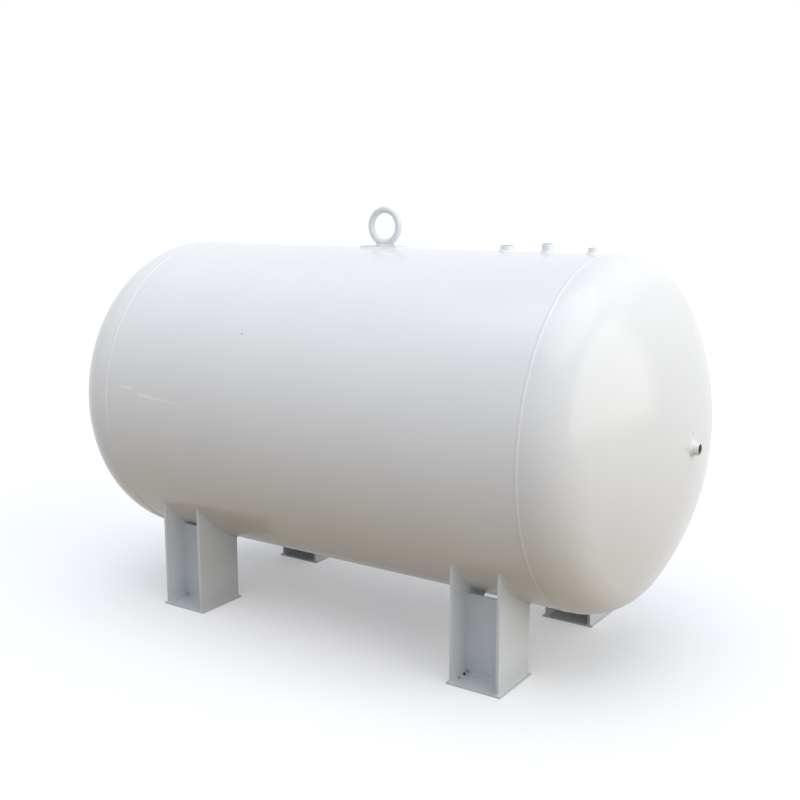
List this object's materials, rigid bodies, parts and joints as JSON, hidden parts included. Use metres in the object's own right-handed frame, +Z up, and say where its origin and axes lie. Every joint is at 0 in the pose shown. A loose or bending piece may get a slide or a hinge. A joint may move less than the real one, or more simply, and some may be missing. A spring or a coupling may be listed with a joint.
{
  "type": "horizontal pressure tank",
  "caption": "White horizontal steel pressure tank with dished ends on welded plate legs, with a lifting ring and pipe sockets on top and on one end.",
  "frame": {"origin": "on the floor under the middle of the whole length, midway between the sides", "axes": "+X along the tank towards the end with the socket, +Z up, -Y towards the side that faces the viewer"},
  "size_m": [2.4388, 1.204, 1.55],
  "materials": {
    "tank_paint": "gloss white enamel",
    "fitting_paint": "gloss white enamel",
    "leg_paint": "gloss white enamel"
  },
  "bodies": {
    "root": {"shell": "tank_paint", "left_head": "tank_paint", "right_head": "tank_paint", "left_girth_weld": "tank_paint", "right_girth_weld": "tank_paint", "long_weld": "tank_paint", "lifting_pad": "fitting_paint", "lifting_ring": "fitting_paint", "top_socket_large": "fitting_paint", "top_socket_large_weld": "fitting_paint", "top_socket_middle": "fitting_paint", "top_socket_middle_weld": "fitting_paint", "top_socket_small": "fitting_paint", "top_socket_small_weld": "fitting_paint", "drain_socket": "fitting_paint", "drain_socket_weld": "fitting_paint", "end_socket": "fitting_paint", "end_socket_weld": "fitting_paint", "near_left_leg_left_plate": "leg_paint", "near_left_leg_right_plate": "leg_paint", "near_left_leg_web": "leg_paint", "near_left_leg_base": "leg_paint", "near_right_leg_left_plate": "leg_paint", "near_right_leg_right_plate": "leg_paint", "near_right_leg_web": "leg_paint", "near_right_leg_base": "leg_paint", "far_left_leg_left_plate": "leg_paint", "far_left_leg_right_plate": "leg_paint", "far_left_leg_web": "leg_paint", "far_left_leg_base": "leg_paint", "far_right_leg_left_plate": "leg_paint", "far_right_leg_right_plate": "leg_paint", "far_right_leg_web": "leg_paint", "far_right_leg_base": "leg_paint"}
  },
  "joints": []
}
